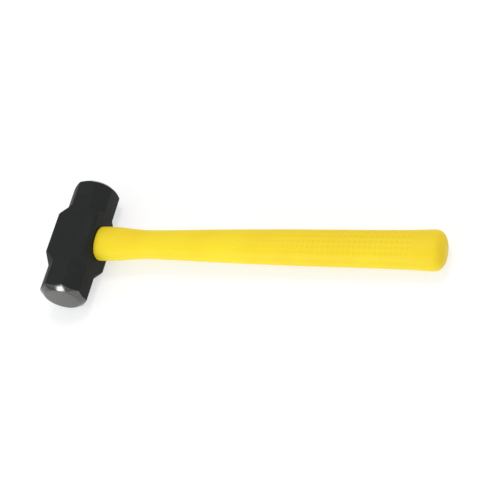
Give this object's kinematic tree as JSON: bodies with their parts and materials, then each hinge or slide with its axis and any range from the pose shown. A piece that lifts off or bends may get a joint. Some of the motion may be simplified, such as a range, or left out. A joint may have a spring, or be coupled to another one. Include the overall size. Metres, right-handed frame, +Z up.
{
  "type": "double-face hammer",
  "caption": "Two-faced hand hammer: a forged steel head with octagonal barrels and bevelled faces on a moulded yellow handle over an oval fibreglass core, bonded in the eye with resin.",
  "frame": {"origin": "on the lower cheek of the head, straight below the centre of the eye", "axes": "+X along the handle from the head to the butt, +Y along the head, +Z up out of the upper cheek when the hammer lies on its side"},
  "size_m": [0.3538, 0.1152, 0.0395],
  "materials": {
    "forged_head": "satin black paint over forged steel, ground bare on the striking faces and their bevels",
    "eye_resin": "cured amber casting resin",
    "resin_dam": "soft dark foam rubber",
    "fibreglass_core": "pultruded glass fibre and resin, sawn end",
    "handle_jacket": "satin moulded yellow plastic, dimpled on the grip"
  },
  "bodies": {
    "root": {"forged_head": "forged_head", "eye_resin": "eye_resin", "resin_dam": "resin_dam", "fibreglass_core": "fibreglass_core", "handle_jacket": "handle_jacket"}
  },
  "joints": []
}
